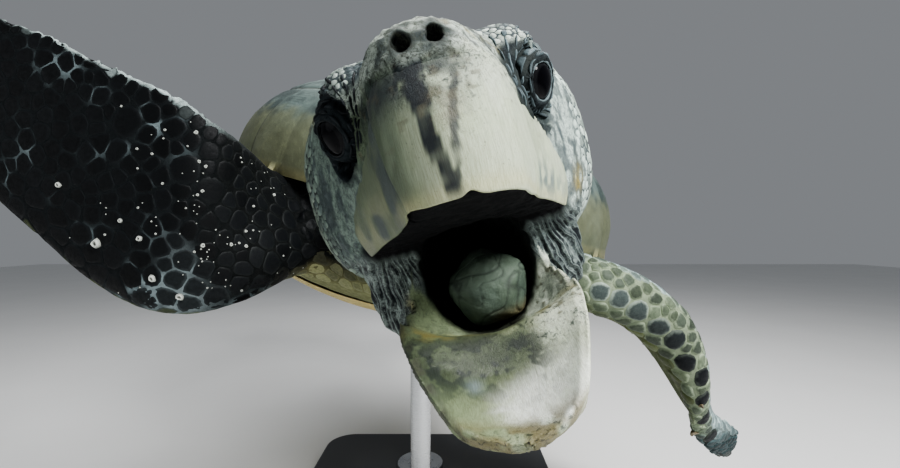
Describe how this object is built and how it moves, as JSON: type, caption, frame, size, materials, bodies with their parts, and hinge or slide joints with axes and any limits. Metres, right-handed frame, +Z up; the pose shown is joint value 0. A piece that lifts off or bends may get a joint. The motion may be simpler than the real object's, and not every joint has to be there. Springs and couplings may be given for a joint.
{
  "type": "loggerhead turtle",
  "caption": "Life-size loggerhead turtle swimming with its beak wide open, banked to one side, on a flat display base with short rods.",
  "frame": {"origin": "centre of the underside of the stand's base", "axes": "+Z up, the turtle's head towards -Y, its left side towards +X"},
  "size_m": [1.0692, 1.3757, 0.783],
  "materials": {
    "skin": "scaly reptile skin, pale seams round grey-olive to near-black scales",
    "horn": "pale cream and olive horn with fine dark streaks and specks",
    "tongue": "moist pale olive flesh",
    "eye": "dark wet gloss",
    "carapace": "olive-brown scutes dusted with algae",
    "plastron": "pale yellow scutes",
    "claw": "brown horn",
    "stand_base": "satin dark grey lacquer",
    "stand_rod": "brushed along its length"
  },
  "bodies": {
    "root": {"head": "skin", "neck": "skin", "trunk": "skin", "tail": "skin", "lower_jaw": "skin", "front_flipper_left": "skin", "front_flipper_right": "skin", "hind_flipper_left": "skin", "hind_flipper_right": "skin", "upper_beak": "horn", "lower_beak": "horn", "tongue": "tongue", "eye_left": "eye", "eye_right": "eye", "carapace": "carapace", "plastron": "plastron", "front_claw_left_1": "claw", "front_claw_left_2": "claw", "front_claw_right_1": "claw", "front_claw_right_2": "claw", "hind_claw_left_1": "claw", "hind_claw_left_2": "claw", "hind_claw_right_1": "claw", "hind_claw_right_2": "claw", "stand_base": "stand_base", "stand_rod_front": "stand_rod", "stand_rod_rear": "stand_rod"}
  },
  "joints": []
}
